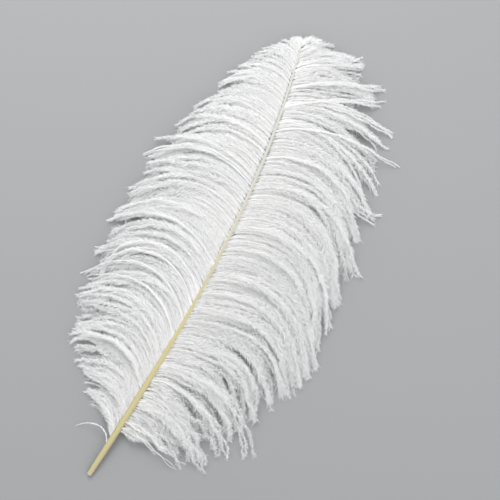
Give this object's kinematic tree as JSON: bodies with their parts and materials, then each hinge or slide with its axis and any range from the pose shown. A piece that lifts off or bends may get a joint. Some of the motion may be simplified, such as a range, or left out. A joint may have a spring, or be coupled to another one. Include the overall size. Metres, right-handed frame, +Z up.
{
  "type": "ostrich feather",
  "caption": "White ostrich plume lying flat: a bowed cream shaft with a bare quill end and two vanes of long, loose barbs that droop in soft locks.",
  "frame": {"origin": "on the table, under the middle of the feather's bounding box", "axes": "+Y from the quill's cut end to the tip, +X towards the wider vane, +Z up out of the feather's upper side"},
  "size_m": [0.2246, 0.4228, 0.0215],
  "materials": {
    "shaft": "satin",
    "barbs": "matte"
  },
  "bodies": {
    "root": {"shaft": "shaft", "left_vane": "barbs", "right_vane": "barbs"}
  },
  "joints": []
}
